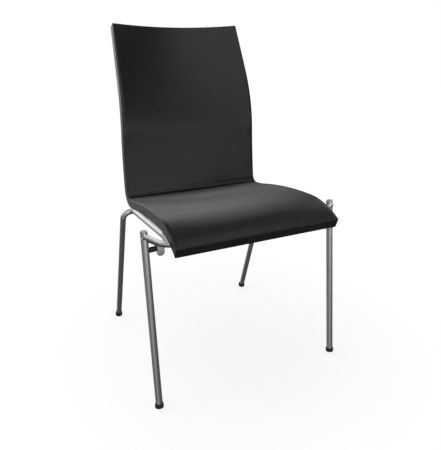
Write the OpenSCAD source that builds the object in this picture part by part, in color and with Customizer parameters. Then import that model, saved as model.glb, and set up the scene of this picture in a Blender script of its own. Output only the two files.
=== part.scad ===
// Choir chair: an upholstered one-piece shell on a stackable four-leg tube frame.
// X points to the sitter's left, Y from the seat's front edge to the back, Z up.
// The origin lies on the floor under the middle of the chair's outline.
// Left and right in the names are as seen from in front of the chair: left lies at -X.

/* [Shell] */
// How far the seat's front edge lies below the front legs' tops
seat_drop = 17.5; // [14:0.5:19]
// How far the seat's front edge stands ahead of the front feet
seat_overhang = 38; // [20:1:60]
// Width of the seat at its front edge
seat_front_w = 431; // [400:1:450]
// How far each side comes in from the front edge to the crease between seat and back
seat_taper = 12.5; // [0:0.5:20]
// How far each side comes in from the crease to the back's top edge
back_taper = 18; // [0:0.5:40]
// How far each side of the back bows outwards at mid-height
bow_depth = 3.5; // [0:0.5:8]
// Thickness of the padded shell
shell_t = 23.5; // [22:0.5:28]
// Thickness of the plywood core
core_t = 9; // [8:0.5:10]
// How much thicker the padding is under the front half of the seat
seat_extra_t = 1.5; // [0:0.5:5]
// Depth of the hollow across the rear half of the seat
seat_dish_depth = 9; // [0:0.5:11]
// Depth of the back's sideways curve at its top edge
back_dish_depth = 20; // [5:1:30]
// Thickness of the sewn band round the shell's edge
band_t = 2.2; // [1.5:0.1:3]
// How deep the pads' long edges are drawn down beside the band
edge_roll_depth = 1.5; // [0:0.25:2.5]
// How deep the crease seam pulls the padding in
pinch_depth = 4; // [2:0.25:4.5]
// How far from the seam the padding starts to fall towards it
pinch_reach = 14; // [10:1:20]
// Diameter of the welt sewn into the crease
welt_d = 3; // [2:0.25:3.5]

/* [Shell profile] */
// Length of the seat's nose curve
nose_length = 119; // [105:1:130]
// Steepness of the nose at the front edge, in degrees
nose_angle = 35; // [30:0.5:40]
// How far the front edge face turns from square towards upright, in degrees
front_edge_rake = 14; // [0:1:28]
// Length of the gently falling seat
seat_length = 222; // [210:1:236]
// How far the seat turns down over that length, in degrees
seat_fall = 12; // [9:0.5:14]
// Length over which the seat levels out again
rise_length = 45; // [35:1:55]
// How far it turns up over that length, in degrees
rise_turn = 9; // [5:0.5:12]
// Radius of the face in the crease
crease_radius = 20; // [16:0.5:24]
// How far the crease turns, in degrees
crease_turn = 87; // [82:0.5:92]
// Length of the lower back
lower_back_length = 146; // [120:1:180]
// How far the lower back turns on to upright, in degrees
lower_back_turn = 6; // [3:0.5:9]
// Length of the curve above the lumbar support
lumbar_length = 165; // [140:1:200]
// How far the back leans away over that length, in degrees
lumbar_turn = 23; // [15:0.5:28]
// Length of the straight top part of the back
back_top_length = 140; // [100:1:160]

/* [Front legs] */
// Diameter of the front leg tube
front_leg_d = 17; // [16:0.5:19]
// Distance from the seat's side out to the middle of the front leg's top
leg_reach = 40.25; // [34:0.25:50]
// How much further out the front foot stands than the leg's top
front_splay_length = 1.75; // [0:0.25:6]
// Height of the front leg tube's top
front_leg_h = 438; // [400:1:480]
// How far the front leg's top stands behind its foot
front_setback_length = 52; // [40:1:60]
// Thickness of the cap on the front leg's top
top_cap_t = 2; // [1.5:0.5:3]
// How far the cap's plug reaches into the tube
top_plug_l = 8; // [5:1:12]

/* [Side tubes] */
// Diameter of the side tubes: rear leg, knee and seat rail in one
side_tube_d = 16; // [15:0.5:17]
// Distance from the front feet back to the rear feet
foot_depth = 469.5; // [455:0.5:485]
// How much further out the rear foot stands than the knee
rear_splay_length = 3; // [0:0.5:8]
// Distance from the rail out to the knee, where the rear leg turns inwards
knee_reach = 29; // [27:0.5:34]
// How far the knee lies below the rail's rear corner
knee_drop = 8.5; // [7:0.5:12]
// How far the knee stands ahead of the rear foot
rear_setback_length = 137.4; // [120:0.1:156]
// Radius of the bend where the rear leg turns inwards
knee_radius = 20; // [16:0.5:20]
// Radius of the bend where the side tube turns forwards into the rail
rail_rear_radius = 15; // [12:0.5:15]
// Distance from the front leg's top in to the rail, centre to centre
rail_reach = 59.75; // [56:0.25:64]
// Distance from the front cross tube back to the rail's front corner
rail_front_length = 42.5; // [36:0.5:50]
// How far the rail's front corner lies above the front cross tube
rail_rise_height = 7.5; // [5:0.5:9]
// How far the rail comes down from its front corner to its rear corner
rail_fall_height = 10; // [8.5:0.5:14]
// Radius of the bend at the rail's front corner
rail_front_radius = 60; // [40:1:80]

/* [Cross tubes] */
// Diameter of the cross tubes
cross_tube_d = 15; // [14:0.5:16]
// How far the front cross tube's level run lies below the front legs' tops
cross_drop = 39.5; // [38:0.5:46]
// How far the front cross tube passes ahead of the legs' middles
cross_lead_length = 3; // [2:0.25:4]
// How far the front cross tube's ends pass the legs' middles
cross_pass_length = 4.5; // [3:0.5:6]
// Distance from the front leg's top in to the front cross tube's corner
cross_corner_reach = 43.5; // [40:0.5:48]
// Slope of the front cross tube's ends, in degrees
cross_slope = 33; // [28:0.5:38]
// Radius of the front cross tube's bends
cross_radius = 80; // [50:1:100]
// Distance from the front feet back to the middle cross tube
middle_tube_y = 205; // [180:1:225]
// Wall of all the frame tubes
tube_wall = 1.5; // [1:0.1:2]

/* [Glides] */
// Diameter of the glides
glide_d = 21.5; // [20:0.5:24]
// Height of the glides along the leg
glide_h = 13.5; // [11:0.5:16]
// Thickness of the glide's sole under the tube
glide_sole = 5; // [4:0.5:6]
// Radius of the sole's dome
glide_dome_r = 16; // [13:0.5:20]
// How far the dome is worn flat on the floor
glide_flat = 0.6; // [0.3:0.1:1]

/* [Stacking buffers] */
// Distance from the front leg's top in to the middle of the lug
lug_reach = 36.75; // [35:0.25:40]
// How far the lug hangs behind the middle of the front cross tube
lug_setback_length = 2.75; // [1:0.25:4]
// Width of a lug, with its round lower end
lug_w = 19; // [16:0.5:20]
// Thickness of a lug
lug_t = 3; // [2:0.5:4]
// How far the lug hangs down from the middle of the front cross tube
lug_drop = 24.5; // [22:0.5:28]
// How far the buffer's pin lies below the middle of the front cross tube
pin_drop = 4.5; // [2:0.5:8]
// Diameter of the buffer's pin
pin_d = 6; // [5:0.5:8]
// Diameter of the black buffer sleeve
sleeve_d = 13; // [11:0.5:14]

/* [Seat fixings] */
// Distance along the seat from its front edge to the front screws
front_fixing_s = 168; // [150:1:190]
// Distance along the seat from its front edge to the rear screws
rear_fixing_s = 330; // [310:1:345]
// Distance from the rail's centre in to the screw
fixing_reach = 25; // [23:1:30]
// Width of the fixing plates
plate_w = 24; // [20:1:30]
// Thickness of the fixing plates
plate_t = 3; // [2:0.5:4]
// Diameter of the stand-offs between plate and shell
standoff_d = 18; // [16:0.5:20]
// Diameter of the screws
screw_d = 5; // [4:0.5:6]
// Diameter of the screw heads
screw_head_d = 10; // [9:0.5:12]
// Height of the screw heads
screw_head_h = 3; // [2:0.5:4]
// Diameter of the nut's barrel in the plywood
nut_barrel_d = 7.5; // [7:0.25:9]
// Diameter of the nut's flange
nut_flange_d = 16; // [14:0.5:20]
// Thickness of the nut's flange
nut_flange_t = 1.2; // [0.8:0.1:1.6]

/* [Fits] */
// Gap between soft pieces and what they touch
soft_gap = 0.3; // [0.2:0.05:0.4]
// Gap round screws, pins and plugs
fit_gap = 0.1; // [0.05:0.05:0.2]

/* [Steps] */
// Steps along the nose, seat, rise, crease, lower back, lumbar curve and top
profile_steps = [6, 7, 3, 6, 4, 6, 3];
// Steps from the shell's middle to its side
across_steps = 5; // [3:1:8]
// Steps along each bend of a tube
bend_steps = 7; // [4:1:10]
// Sides of the bent tubes
tube_sides = 28; // [16:4:32]
// Facets of round shapes
$fn = 64; // [32:8:96]

/* [Hidden] */
steel = "#C3C6C9";
dull_steel = "#8E9194";
satin_black = "#26282B";
cover_black = "#2E3033";
cover_edge = "#3A3C3F";
plywood = "#C9A878";

// Widths, from one side to the other or from centre to centre.
crease_w = seat_front_w - 2 * seat_taper;
back_top_w = crease_w - 2 * back_taper;
front_top_span = seat_front_w + 2 * leg_reach;
front_foot_span = front_top_span + 2 * front_splay_length;
rail_span = front_top_span - 2 * rail_reach;
knee_span = rail_span + 2 * knee_reach;
rear_foot_span = knee_span + 2 * rear_splay_length;

// Heights above the floor.
seat_front_z = front_leg_h - seat_drop;
cross_z = front_leg_h - cross_drop;
rail_front_z = cross_z + rail_rise_height;
rail_rear_z = rail_front_z - rail_fall_height;
knee_z = rail_rear_z - knee_drop;

// The shell's face in side view is a path of arcs: each stretch is its length and its turn.
stretches = [
    [nose_length, -nose_angle],
    [seat_length, -seat_fall],
    [rise_length, rise_turn],
    [crease_radius * crease_turn * PI / 180, crease_turn],
    [lower_back_length, lower_back_turn],
    [lumbar_length, -lumbar_turn],
    [back_top_length, 0]
];

// Length of the path before stretch i.
function travelled(i) = i == 0 ? 0 : travelled(i - 1) + stretches[i - 1][0];

// Heading of the path before stretch i: 0 points back, 90 points up.
function heading_before(i) = i == 0 ? nose_angle : heading_before(i - 1) + stretches[i - 1][1];

// Where an arc from point p with heading h leads, as [y, z].
function arc_end(p, h, length, turn) =
    turn == 0
        ? p + length * [cos(h), sin(h)]
        : let (r = length / (turn * PI / 180))
          p + r * [sin(h + turn) - sin(h), cos(h) - cos(h + turn)];

// Start of stretch i, as [y, z].
function start_of(i) =
    i == 0
        ? [-seat_overhang, seat_front_z]
        : arc_end(start_of(i - 1), heading_before(i - 1), stretches[i - 1][0], stretches[i - 1][1]);

last_stretch = len(stretches) - 1;
path_length = travelled(last_stretch) + stretches[last_stretch][0];
crease_s = travelled(3) + stretches[3][0] / 2;
stretch_starts = [for (i = [0 : last_stretch]) start_of(i)];
stretch_headings = [for (i = [0 : last_stretch]) heading_before(i)];
stretch_lengths_before = [for (i = [0 : last_stretch]) travelled(i)];

// Number of the stretch that holds path length s.
function stretch_at(s, i = last_stretch) =
    i == 0 || s >= stretch_lengths_before[i] ? i : stretch_at(s, i - 1);

// Heading of the face at path length s.
function heading(s) =
    let (i = stretch_at(s))
    stretch_headings[i] + stretches[i][1] * (s - stretch_lengths_before[i]) / stretches[i][0];

// The face's side edge at path length s, as [y, z].
function edge_point(s) =
    let (i = stretch_at(s), part = s - stretch_lengths_before[i])
    arc_end(stretch_starts[i], stretch_headings[i], part, stretches[i][1] * part / stretches[i][0]);

// Half the shell's width at path length s.
function half_width(s) =
    let (
        low_share = min(1, s / crease_s),
        high_share = max(0, (s - crease_s) / (path_length - crease_s))
    )
    (seat_front_w + (crease_w - seat_front_w) * low_share + (back_top_w - crease_w) * high_share) / 2
    + bow_depth * sin(180 * high_share);

// How far the middle of the shell lies below or behind its side edges.
dish_bias_share = 1.6;
function dish(s) =
    s < crease_s
        ? let (share = max(0, (s - nose_length) / (crease_s - nose_length)))
          seat_dish_depth * sin(180 * pow(share, dish_bias_share))
        : back_dish_depth * (s - crease_s) / (path_length - crease_s);

// Thickness of the shell, fuller under the front half of the seat.
function thickness(s) =
    let (share = s / (nose_length + seat_length))
    shell_t + (share < 1 ? seat_extra_t * sin(180 * share) : 0);

// Rake of the thickness direction, which fades out along the nose.
function rake(s) = front_edge_rake * pow(max(0, 1 - s / nose_length), 2);

// A point of the shell at path length s, at x, and at depth d behind its face.
function shell_point(s, x, d) =
    let (
        p = edge_point(s),
        h = heading(s),
        across = x / half_width(s),
        sink = dish(s) * (1 - across * across),
        lean = h - rake(s),
        d_raked = d / cos(rake(s))
    )
    [
        x,
        p[0] + d_raked * sin(lean) + sink * sin(h),
        p[1] - d_raked * cos(lean) - sink * cos(h)
    ];

// The chair's outline runs from the seat's front edge to the rear of the back's top edge.
front_y = shell_point(0, 0, 0)[1];
rear_y = shell_point(path_length, 0, thickness(path_length))[1];
middle_y = (front_y + rear_y) / 2;

core_depth = (shell_t - core_t) / 2;
inset = band_t + soft_gap;
least_step = 2 * soft_gap;

// Path lengths of the stations between s0 and s1.
all_stations = [
    for (i = [0 : last_stretch], k = [0 : profile_steps[i] - 1])
        stretch_lengths_before[i] + stretches[i][0] * k / profile_steps[i]
];
function stations(s0, s1) = concat(
    [s0],
    [for (s = all_stations) if (s > s0 + least_step && s < s1 - least_step) s],
    [s1]
);

across_shares = [for (i = [-across_steps : across_steps]) sin(90 * i / across_steps)];

// Two triangles for the four corners a, b, c and d.
function quad(a, b, c, d) = [[a, b, c], [a, c, d]];

// How far a pad's face is rolled down towards its sides.
roll_start_share = 0.9;
function side_roll(share) =
    edge_roll_depth * pow(max(0, abs(share) - roll_start_share) / (1 - roll_start_share), 2);

// How far a pad's face lies below the shell's face: rolled at its sides, pinched at the crease.
function pad_sink(s, share) =
    side_roll(share) + pinch_depth * pow(max(0, 1 - abs(s - crease_s) / pinch_reach), 2);

// A closed layer of the shell from path length s0 to s1. front and rear give the depths of its
// two sides as functions of path length and share of the width.
module shell_layer(s0, s1, front, rear) {
    list = stations(s0, s1);
    rows = len(list);
    across = len(across_shares);
    ring = 2 * across;
    points = [
        for (s = list, side = [0, 1], i = [0 : across - 1])
            let (
                share = across_shares[side == 0 ? i : across - 1 - i],
                x = share * (half_width(s) - inset)
            )
            shell_point(s, x, side == 0 ? front(s, share) : rear(s, share))
    ];
    walls = [
        for (r = [0 : rows - 2], i = [0 : ring - 1])
            let (a = r * ring + i, b = r * ring + (i + 1) % ring)
            each quad(a, a + ring, b + ring, b)
    ];
    last = (rows - 1) * ring;
    ends = [
        for (i = [0 : across - 2])
            each concat(
                quad(i, i + 1, ring - 2 - i, ring - 1 - i),
                quad(last + i, last + ring - 1 - i, last + ring - 2 - i, last + i + 1)
            )
    ];
    polyhedron(points = points, faces = concat(walls, ends));
}

// Unit vector from a to b.
function towards(a, b) = (b - a) / norm(b - a);

// Angles for rotate() that turn X to unit vector u and Y to unit vector v, square to u.
function angles_to(u, v) =
    let (w = cross(u, v))
    [atan2(v[2], w[2]), -asin(u[2]), atan2(u[1], u[0])];

// Any unit vector square to direction a.
function square_to(a) = let (c = cross(a, abs(a[0]) < abs(a[2]) ? [1, 0, 0] : [0, 0, 1])) c / norm(c);

// A round bar or tube from a to b.
module run(a, b, d, bore = 0) {
    along = towards(a, b);
    u = square_to(along);
    translate(a)
        rotate(angles_to(u, cross(along, u)))
            linear_extrude(norm(b - a))
                ring(d, bore);
}

module ring(d, bore) {
    difference() {
        circle(d = d);
        if (bore > 0) circle(d = bore);
    }
}

// Vector v turned by angle t about unit vector k.
function turned(v, k, t) = v * cos(t) + cross(k, v) * sin(t) + k * (k * v) * (1 - cos(t));

// The frame of a tube at point p: its centre and the two directions across it.
function frame(p, along, x_axis) = [p, x_axis, cross(along, x_axis)];

// Frames of a tube from corner i of points onwards, its later corners rounded by radii.
function frames_onwards(points, radii, i, x_axis) =
    let (
        before = towards(points[i], points[i + 1]),
        after = towards(points[i + 1], points[i + 2]),
        turn = acos(before * after),
        inwards = towards([0, 0, 0], after - before * (before * after)),
        axis = cross(before, inwards),
        r = radii[i],
        start = points[i + 1] - before * r * tan(turn / 2)
    )
    concat(
        [
            for (k = [0 : bend_steps])
                let (t = turn * k / bend_steps)
                frame(
                    start + before * r * sin(t) + inwards * r * (1 - cos(t)),
                    turned(before, axis, t),
                    turned(x_axis, axis, t)
                )
        ],
        i + 3 == len(points)
            ? [frame(points[i + 2], after, turned(x_axis, axis, turn))]
            : frames_onwards(points, radii, i + 1, turned(x_axis, axis, turn))
    );

// A tube along points, its inner corners rounded by radii, as one closed solid.
module bent_tube(points, radii, d, bore = 0) {
    first = towards(points[0], points[1]);
    x_axis = square_to(first);
    frames = concat([frame(points[0], first, x_axis)], frames_onwards(points, radii, 0, x_axis));
    count = len(frames);
    sides = tube_sides;
    skins = bore > 0 ? [d / 2, bore / 2] : [d / 2];
    rings = [
        for (r = skins, f = frames, k = [0 : sides - 1])
            let (t = 360 * k / sides)
            f[0] + (f[1] * cos(t) + f[2] * sin(t)) * r
    ];
    inner = count * sides;
    far = (count - 1) * sides;
    outer_faces = [
        for (r = [0 : count - 2], k = [0 : sides - 1])
            let (a = r * sides + k, b = r * sides + (k + 1) % sides)
            each quad(a, a + sides, b + sides, b)
    ];
    inner_faces = [for (f = outer_faces) if (bore > 0) [f[2] + inner, f[1] + inner, f[0] + inner]];
    ends = [
        for (k = [0 : sides - 1])
            let (n = (k + 1) % sides)
            each bore > 0
                ? concat(quad(k, n, n + inner, k + inner),
                    quad(far + k, far + k + inner, far + n + inner, far + n))
                : k == 0 || n == 0 ? [] : [[0, k, n], [far, far + n, far + k]]
    ];
    polyhedron(points = rings, faces = concat(outer_faces, inner_faces, ends));
}

// Mirrors what is drawn for the positive side of X onto the side asked for.
module on_side(side) {
    if (side < 0) mirror([1, 0, 0]) children();
    else children();
}

// Moves the chair's outline so that its middle lies over the origin.
module placed() translate([0, -middle_y, 0]) children();

// Point of the front leg's axis at height z.
front_foot = [front_foot_span / 2, 0, 0];
front_top = [front_top_span / 2, front_setback_length, front_leg_h];
function front_leg_at(z) = front_foot + (front_top - front_foot) * z / front_leg_h;

// Point of the rear leg's axis at height z.
rear_foot = [rear_foot_span / 2, foot_depth, 0];
knee = [knee_span / 2, foot_depth - rear_setback_length, knee_z];
function rear_leg_at(z) = rear_foot + (knee - rear_foot) * z / knee_z;

// The legs' tubes end on the glides' soles.
function sole_height(foot, top) = (glide_sole - glide_flat) * towards(foot, top)[2];
front_sole_z = sole_height(front_foot, front_top);
rear_sole_z = sole_height(rear_foot, knee);

// The front cross tube, welded across the fronts of both front legs.
cross_meet = front_leg_at(cross_z + cross_corner_reach * tan(cross_slope));
cross_y = cross_meet[1] - cross_lead_length;
cross_end = [
    cross_meet[0] + cross_pass_length,
    cross_y,
    cross_meet[2] + cross_pass_length * tan(cross_slope)
];
cross_corner_x = front_top_span / 2 - cross_corner_reach;
cross_points = [
    [-cross_end[0], cross_y, cross_end[2]],
    [-cross_corner_x, cross_y, cross_z],
    [cross_corner_x, cross_y, cross_z],
    cross_end
];
cross_radii = [cross_radius, cross_radius];

// The side tube: rear leg, knee, seat rail, and its end on the front cross tube.
rail_rear = [rail_span / 2, knee[1], rail_rear_z];
rail_front = [rail_span / 2, cross_y + rail_front_length, rail_front_z];
side_points = [
    rear_leg_at(rear_sole_z),
    knee,
    rail_rear,
    rail_front,
    [rail_span / 2, cross_y, cross_z]
];
side_radii = [knee_radius, rail_rear_radius, rail_front_radius];
function rail_z(y) =
    rail_front_z - rail_fall_height * (y - rail_front[1]) / (rail_rear[1] - rail_front[1]);

// A fixing at path length s: where the plywood's underside meets the screw, and how it is turned.
fixing_x = rail_span / 2 - fixing_reach;
core_rear = core_depth + core_t;
function fixing_point(s) = shell_point(s, fixing_x, core_rear);
function fixing_roll(s) = atan(2 * dish(s) * fixing_x / pow(half_width(s), 2));
plate_rise = side_tube_d / 4;
function standoff_h(s) =
    let (p = fixing_point(s))
    (p[2] + fixing_reach * tan(fixing_roll(s)) - rail_z(p[1]) - plate_rise) / cos(heading(s)) - plate_t / 2;

module at_fixing(s) {
    translate(fixing_point(s))
        rotate([heading(s), 0, 0])
            rotate([0, -fixing_roll(s), 0])
                children();
}

// Repeats a fixing's piece at the four screws.
module at_fixings() {
    for (side = [-1, 1], s = [front_fixing_s, rear_fixing_s])
        on_side(side) at_fixing(s) children();
}

// Overrun of every cut.
over = 1;

nut_h = core_t - nut_flange_t;

module shell_core() {
    color(plywood)
        placed()
            difference() {
                shell_layer(inset, path_length - inset,
                    function (s, share) core_depth,
                    function (s, share) core_rear);
                at_fixings() {
                    translate([0, 0, -over])
                        cylinder(d = nut_barrel_d + 2 * fit_gap, h = core_t + 2 * over);
                    translate([0, 0, nut_h - fit_gap])
                        cylinder(d = nut_flange_d + 2 * fit_gap, h = nut_flange_t + over);
                }
            }
}

welt_slot = welt_d / 2 + soft_gap;

module seat_pad() {
    color(cover_black)
        placed()
            shell_layer(inset, crease_s - welt_slot,
                function (s, share) pad_sink(s, share),
                function (s, share) core_depth - soft_gap);
}

module back_pad() {
    color(cover_black)
        placed()
            shell_layer(crease_s + welt_slot, path_length - inset,
                function (s, share) pad_sink(s, share),
                function (s, share) core_depth - soft_gap);
}

module seat_underside_pad() {
    color(cover_edge)
        placed()
            difference() {
                shell_layer(inset, crease_s - soft_gap / 2,
                    function (s, share) core_rear + soft_gap,
                    function (s, share) thickness(s) - side_roll(share));
                at_fixings()
                    translate([0, 0, -shell_t])
                        cylinder(d = standoff_d + 2 * soft_gap, h = shell_t + over);
            }
}

module back_rear_pad() {
    color(cover_edge)
        placed()
            shell_layer(crease_s + soft_gap / 2, path_length - inset,
                function (s, share) core_rear + soft_gap,
                function (s, share) thickness(s) - side_roll(share));
}

// The band runs up one side, across the top, down the other side and across the front.
module edge_band() {
    side = stations(0, path_length);
    inner_shares = [for (i = [1 : len(across_shares) - 2]) across_shares[i]];
    loop = concat(
        [for (s = side) [s, -1]],
        [for (share = inner_shares) [path_length, share]],
        [for (i = [len(side) - 1 : -1 : 0]) [side[i], 1]],
        [for (i = [len(inner_shares) - 1 : -1 : 0]) [0, inner_shares[i]]]
    );
    count = len(loop);
    points = [
        for (place = loop)
            let (
                s = place[0],
                share = place[1],
                inner_s = min(max(s, band_t), path_length - band_t),
                outer_x = share * half_width(s),
                inner_x = share * (half_width(s) - band_t)
            )
            each [
                shell_point(s, outer_x, 0),
                shell_point(s, outer_x, thickness(s)),
                shell_point(inner_s, inner_x, thickness(inner_s)),
                shell_point(inner_s, inner_x, 0)
            ]
    ];
    faces = [
        for (k = [0 : count - 1], i = [0 : 3])
            let (a = 4 * k, b = 4 * ((k + 1) % count), j = (i + 1) % 4)
            each quad(a + i, a + j, b + j, b + i)
    ];
    color(cover_edge) placed() polyhedron(points = points, faces = faces);
}

module crease_welt() {
    depth = pinch_depth + soft_gap;
    x = half_width(crease_s) - inset;
    color(cover_black)
        placed()
            run(shell_point(crease_s, -x, depth), shell_point(crease_s, x, depth), welt_d);
}

module front_leg(side) {
    color(steel)
        placed()
            on_side(side)
                run(front_leg_at(front_sole_z), front_top, front_leg_d, front_leg_d - 2 * tube_wall);
}

module left_front_leg() front_leg(-1);
module right_front_leg() front_leg(1);

module top_cap(side) {
    along = towards(front_foot, front_top);
    color(steel)
        placed()
            on_side(side) {
                run(front_top, front_top + along * top_cap_t, front_leg_d);
                run(front_top - along * top_plug_l, front_top + along * top_cap_t,
                    front_leg_d - 2 * tube_wall - 2 * fit_gap);
            }
}

module left_top_cap() top_cap(-1);
module right_top_cap() top_cap(1);

module side_tube(side) {
    color(steel)
        placed()
            on_side(side)
                difference() {
                    bent_tube(side_points, side_radii, side_tube_d, side_tube_d - 2 * tube_wall);
                    run(cross_points[1], cross_points[2], cross_tube_d);
                }
}

module left_side_tube() side_tube(-1);
module right_side_tube() side_tube(1);

module front_cross_tube() {
    color(steel)
        placed()
            difference() {
                bent_tube(cross_points, cross_radii, cross_tube_d, cross_tube_d - 2 * tube_wall);
                for (side = [-1, 1]) on_side(side) run(front_foot, front_top, front_leg_d);
            }
}

// The middle cross tube stops against the two rails.
module middle_cross_tube() {
    z = rail_z(middle_tube_y);
    color(steel)
        placed()
            difference() {
                run([-rail_span / 2, middle_tube_y, z], [rail_span / 2, middle_tube_y, z],
                    cross_tube_d, cross_tube_d - 2 * tube_wall);
                for (side = [-1, 1]) on_side(side) run(rail_rear, rail_front, side_tube_d);
            }
}

// A domed glide on the foot of a leg from foot towards top, standing flat on the floor.
module glide(side, foot, top, leg_d) {
    along = towards(foot, top);
    base = foot - along * glide_flat;
    color(satin_black)
        placed()
            on_side(side)
                difference() {
                    intersection() {
                        run(base, base + along * glide_h, glide_d);
                        translate(base + along * glide_dome_r) sphere(glide_dome_r);
                        translate([foot[0] - glide_d, foot[1] - glide_d, 0])
                            cube([2 * glide_d, 2 * glide_d, 2 * glide_h]);
                    }
                    run(base + along * glide_sole, base + along * (glide_h + over), leg_d + 2 * fit_gap);
                }
}

module front_left_glide() glide(-1, front_foot, front_top, front_leg_d);
module front_right_glide() glide(1, front_foot, front_top, front_leg_d);
module rear_left_glide() glide(-1, rear_foot, knee, side_tube_d);
module rear_right_glide() glide(1, rear_foot, knee, side_tube_d);

// The lug hangs from the front cross tube; its lower end is round.
lug_eye = [
    front_top_span / 2 - lug_reach,
    cross_y + lug_setback_length,
    cross_z - lug_drop + lug_w / 2
];

module lug_plate() {
    translate([lug_eye[0], lug_eye[1] + lug_t / 2, lug_eye[2]])
        rotate([90, 0, 0])
            linear_extrude(lug_t) {
                circle(d = lug_w);
                translate([-lug_w / 2, 0]) square([lug_w, cross_z - lug_eye[2]]);
            }
}

module buffer_lug(side) {
    color(dull_steel)
        placed()
            on_side(side)
                difference() {
                    lug_plate();
                    bent_tube(cross_points, cross_radii, cross_tube_d);
                }
}

module left_buffer_lug() buffer_lug(-1);
module right_buffer_lug() buffer_lug(1);

// The pin runs from the front leg to the lug's edge.
pin_start = front_leg_at(cross_z - pin_drop);
pin_end = [lug_eye[0] + lug_w / 2, lug_eye[1], pin_start[2]];

module buffer_pin(side) {
    color(dull_steel)
        placed()
            on_side(side)
                difference() {
                    run(pin_start, pin_end, pin_d);
                    run(front_foot, front_top, front_leg_d);
                    lug_plate();
                }
}

module left_buffer_pin() buffer_pin(-1);
module right_buffer_pin() buffer_pin(1);

module buffer_sleeve(side) {
    color(satin_black)
        placed()
            on_side(side)
                difference() {
                    run(pin_start, pin_end, sleeve_d, pin_d + 2 * fit_gap);
                    run(front_foot, front_top, front_leg_d + 2 * soft_gap);
                }
}

module left_buffer_sleeve() buffer_sleeve(-1);
module right_buffer_sleeve() buffer_sleeve(1);

// A plate reaches from under the screw out to the rail, and is cut to fit it.
module fixing_plate(side, s) {
    color(dull_steel)
        placed()
            on_side(side)
                difference() {
                    at_fixing(s)
                        translate([0, 0, -standoff_h(s) - plate_t])
                            linear_extrude(plate_t)
                                difference() {
                                    union() {
                                        circle(d = plate_w);
                                        translate([0, -plate_w / 2]) square([fixing_reach, plate_w]);
                                    }
                                    circle(d = screw_d + 2 * fit_gap);
                                }
                    run(rail_rear, rail_front, side_tube_d);
                }
}

module front_left_plate() fixing_plate(-1, front_fixing_s);
module front_right_plate() fixing_plate(1, front_fixing_s);
module rear_left_plate() fixing_plate(-1, rear_fixing_s);
module rear_right_plate() fixing_plate(1, rear_fixing_s);

module standoff(side, s) {
    color(satin_black)
        placed()
            on_side(side)
                at_fixing(s)
                    translate([0, 0, -standoff_h(s)])
                        linear_extrude(standoff_h(s) - soft_gap)
                            ring(standoff_d, screw_d + 2 * fit_gap);
}

module front_left_standoff() standoff(-1, front_fixing_s);
module front_right_standoff() standoff(1, front_fixing_s);
module rear_left_standoff() standoff(-1, rear_fixing_s);
module rear_right_standoff() standoff(1, rear_fixing_s);

module seat_screws() {
    color(steel)
        placed()
            for (side = [-1, 1], s = [front_fixing_s, rear_fixing_s])
                on_side(side)
                    at_fixing(s)
                        translate([0, 0, -standoff_h(s) - plate_t]) {
                            cylinder(d = screw_d, h = standoff_h(s) + plate_t + nut_h);
                            translate([0, 0, -screw_head_h]) cylinder(d = screw_head_d, h = screw_head_h);
                        }
}

module seat_nuts() {
    color(dull_steel)
        placed()
            at_fixings() {
                linear_extrude(nut_h) ring(nut_barrel_d, screw_d + 2 * fit_gap);
                translate([0, 0, nut_h])
                    linear_extrude(nut_flange_t - fit_gap)
                        ring(nut_flange_d, screw_d + 2 * fit_gap);
            }
}

shell_core();
seat_pad();
back_pad();
seat_underside_pad();
back_rear_pad();
edge_band();
crease_welt();
left_front_leg();
right_front_leg();
left_top_cap();
right_top_cap();
left_side_tube();
right_side_tube();
front_cross_tube();
middle_cross_tube();
front_left_glide();
front_right_glide();
rear_left_glide();
rear_right_glide();
left_buffer_lug();
right_buffer_lug();
left_buffer_pin();
right_buffer_pin();
left_buffer_sleeve();
right_buffer_sleeve();
front_left_plate();
front_right_plate();
rear_left_plate();
rear_right_plate();
front_left_standoff();
front_right_standoff();
rear_left_standoff();
rear_right_standoff();
seat_screws();
seat_nuts();
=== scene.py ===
"""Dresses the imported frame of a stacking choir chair: upholstered shell, chrome tubes, feet."""
import logging
import math
from dataclasses import dataclass
from enum import Enum
from functools import cache
from typing import Optional

import bmesh
import bpy
from bmesh.types import BMEdge, BMesh, BMVert
from bpy.types import ID, Material, Node, NodeSocket, NodeTree, Object
from mathutils import Matrix, Vector


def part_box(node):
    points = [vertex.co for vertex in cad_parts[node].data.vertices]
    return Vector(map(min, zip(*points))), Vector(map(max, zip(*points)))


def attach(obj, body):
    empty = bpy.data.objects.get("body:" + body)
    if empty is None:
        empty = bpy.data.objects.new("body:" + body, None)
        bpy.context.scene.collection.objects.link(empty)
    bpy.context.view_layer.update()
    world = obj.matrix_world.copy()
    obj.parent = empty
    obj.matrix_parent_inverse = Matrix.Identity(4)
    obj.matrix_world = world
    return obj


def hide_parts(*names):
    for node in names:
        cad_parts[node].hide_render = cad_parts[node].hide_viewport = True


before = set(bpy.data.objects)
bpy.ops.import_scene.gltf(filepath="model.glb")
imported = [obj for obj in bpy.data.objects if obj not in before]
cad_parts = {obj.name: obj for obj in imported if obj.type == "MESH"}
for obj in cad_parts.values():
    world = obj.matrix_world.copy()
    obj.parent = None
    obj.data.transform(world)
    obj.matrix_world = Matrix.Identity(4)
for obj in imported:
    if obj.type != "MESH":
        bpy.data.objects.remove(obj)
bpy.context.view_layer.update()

MM = 0.001
BODY = "root"
MIDDLE_Y = 228.34  # mm from the front feet to the middle of the chair
MERGE = 1e-6  # points of a finished mesh nearer than this many metres are one

Pair = tuple[float, float]
Triple = tuple[float, float, float]

logging.basicConfig(level=logging.INFO, format="%(message)s")
log = logging.getLogger("choir_chair")


class Slot(Enum):
    """The record's material slots."""

    COVER = "cover"
    COVER_EDGE = "cover_edge"
    PLYWOOD = "plywood"
    TUBE_STEEL = "tube_steel"
    PLAIN_STEEL = "plain_steel"
    BLACK_PLASTIC = "black_plastic"
    BLACK_RUBBER = "black_rubber"


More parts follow.
